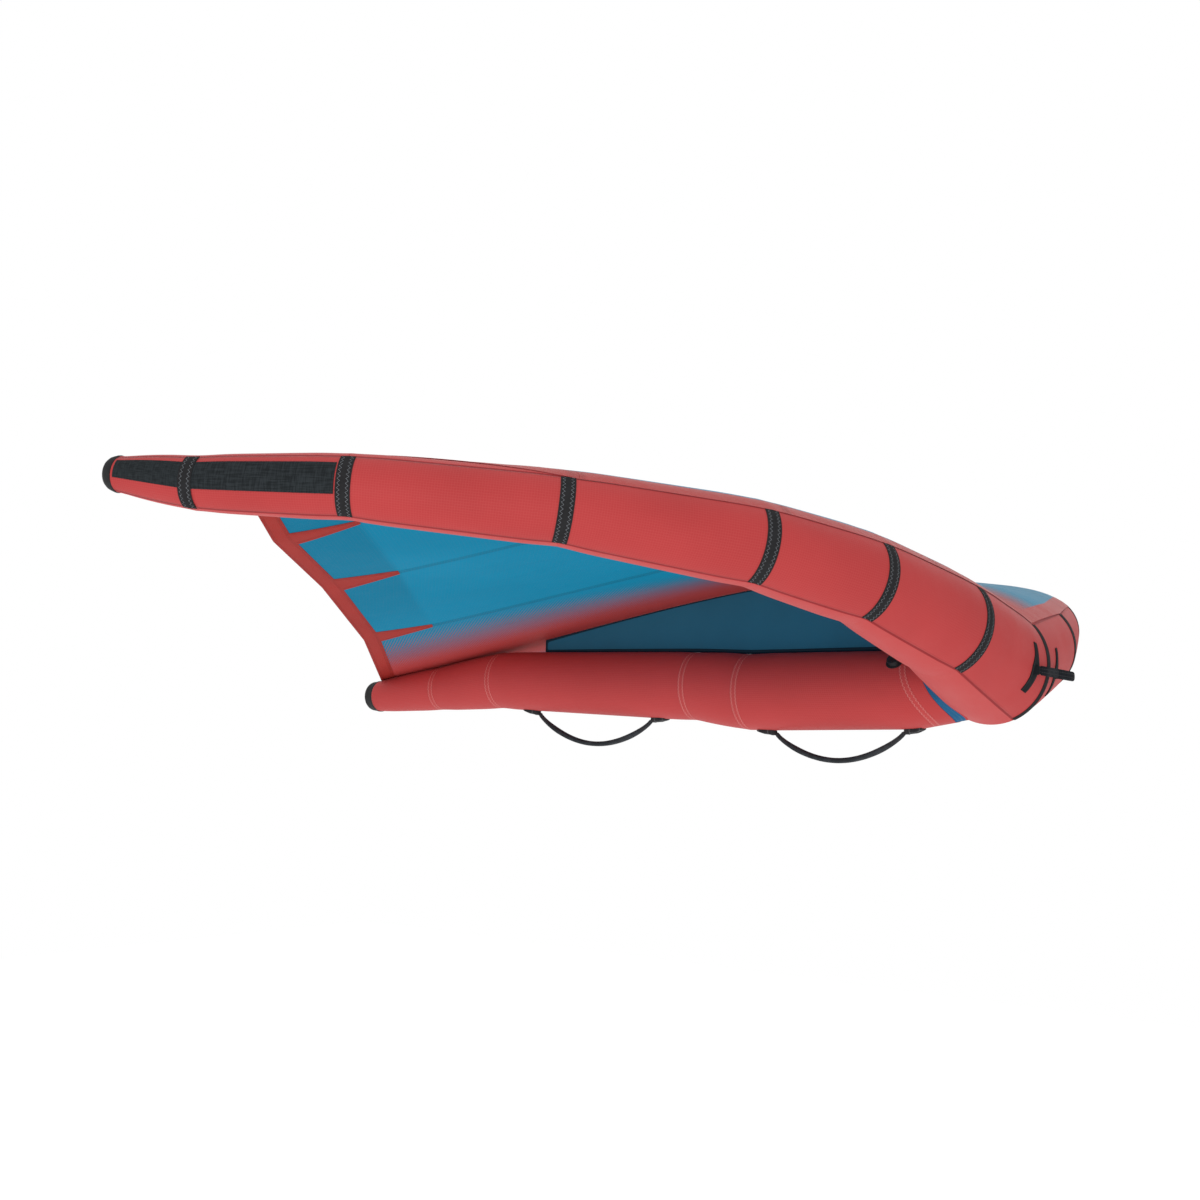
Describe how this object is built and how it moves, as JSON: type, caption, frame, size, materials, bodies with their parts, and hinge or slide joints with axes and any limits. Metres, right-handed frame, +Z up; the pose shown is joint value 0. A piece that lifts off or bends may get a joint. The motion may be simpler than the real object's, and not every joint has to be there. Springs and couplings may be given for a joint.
{
  "type": "wingfoil wing",
  "caption": "Inflatable hand-held wing: a tapered, swept leading edge tube and a centre strut carry a cloth canopy, with swinging grips below and at the nose.",
  "frame": {"origin": "under the middle of the bounding box, on the plane the lowest grip touches", "axes": "+Z up, -Y towards the nose, +X towards the wing's left tip"},
  "size_m": [3.2284, 2.225, 0.5548],
  "materials": {
    "red_dacron": "woven polyester sailcloth",
    "black_tape": "woven tape",
    "scuff_cloth": "coarse abrasion cloth",
    "black_rubber": "matt moulded",
    "bladder_film": "clear polyurethane film",
    "blue_cuff": "woven polyester sailcloth",
    "blue_ripstop": "ripstop canopy cloth",
    "red_load_band": "woven polyester sailcloth",
    "deep_blue_cloth": "woven polyester sailcloth",
    "black_webbing": "webbing",
    "valve_plastic": "moulded"
  },
  "bodies": {
    "wing": {"canopy_centre_panel": "blue_ripstop", "canopy_left_panel_2": "blue_ripstop", "canopy_left_panel_3": "blue_ripstop", "canopy_left_panel_4": "blue_ripstop", "canopy_right_panel_2": "blue_ripstop", "canopy_right_panel_3": "blue_ripstop", "canopy_right_panel_4": "blue_ripstop", "front_handle_anchor_aft": "black_webbing", "front_handle_anchor_fore": "black_webbing", "le_bladder": "bladder_film", "le_panel_left_1": "red_dacron", "le_panel_left_2": "red_dacron", "le_panel_left_3": "red_dacron", "le_panel_left_4": "red_dacron", "le_panel_left_5": "red_dacron", "le_panel_left_6": "red_dacron", "le_panel_left_7": "red_dacron", "le_panel_right_1": "red_dacron", "le_panel_right_2": "red_dacron", "le_panel_right_3": "red_dacron", "le_panel_right_4": "red_dacron", "le_panel_right_5": "red_dacron", "le_panel_right_6": "red_dacron", "le_panel_right_7": "red_dacron", "le_seam_tape_centre": "black_tape", "le_seam_tape_left_1": "black_tape", "le_seam_tape_left_2": "black_tape", "le_seam_tape_left_3": "black_tape", "le_seam_tape_left_4": "black_tape", "le_seam_tape_left_5": "black_tape", "le_seam_tape_left_6": "black_tape", "le_seam_tape_right_1": "black_tape", "le_seam_tape_right_2": "black_tape", "le_seam_tape_right_3": "black_tape", "le_seam_tape_right_4": "black_tape", "le_seam_tape_right_5": "black_tape", "le_seam_tape_right_6": "black_tape", "nose_handle_patch_left": "black_webbing", "nose_handle_patch_right": "black_webbing", "rear_handle_anchor_aft": "black_webbing", "rear_handle_anchor_fore": "black_webbing", "scuff_patch_left": "scuff_cloth", "scuff_patch_right": "scuff_cloth", "strut_bladder": "bladder_film", "strut_collar": "blue_cuff", "strut_end_cap": "black_rubber", "strut_panel_1": "red_dacron", "strut_panel_2": "red_dacron", "strut_panel_3": "red_dacron", "strut_panel_4": "red_dacron", "strut_panel_5": "red_dacron", "strut_web": "deep_blue_cloth", "tip_cap_left": "black_rubber", "tip_cap_right": "black_rubber", "trailing_edge_band": "red_load_band", "valve_base": "valve_plastic"},
    "rear_handle": {"rear_handle_grip": "black_webbing"},
    "front_handle": {"front_handle_grip": "black_webbing"},
    "nose_handle": {"nose_handle_grip": "black_webbing"},
    "valve_lid": {"valve_cap": "valve_plastic"}
  },
  "joints": [
    {"name": "rear_handle_swing", "type": "hinge", "parent": "wing", "child": "rear_handle", "pos_m": [0, 0.23434, 0.10818], "axis": [0, 0.9991, 0.0414], "range_deg": [-80, 80]},
    {"name": "front_handle_swing", "type": "hinge", "parent": "wing", "child": "front_handle", "pos_m": [0, -0.52416, 0.07546], "axis": [0, 0.9998, -0.0215], "range_deg": [-80, 80]},
    {"name": "nose_handle_swing", "type": "hinge", "parent": "wing", "child": "nose_handle", "pos_m": [0, -1.05414, 0.2241], "axis": [1, 0, 0], "range_deg": [-50, 60]},
    {"name": "valve_lid_hinge", "type": "hinge", "parent": "wing", "child": "valve_lid", "pos_m": [-0.08343, -0.68716, 0.25316], "axis": [-0.6428, 0, -0.766], "range_deg": [0, 110]}
  ]
}
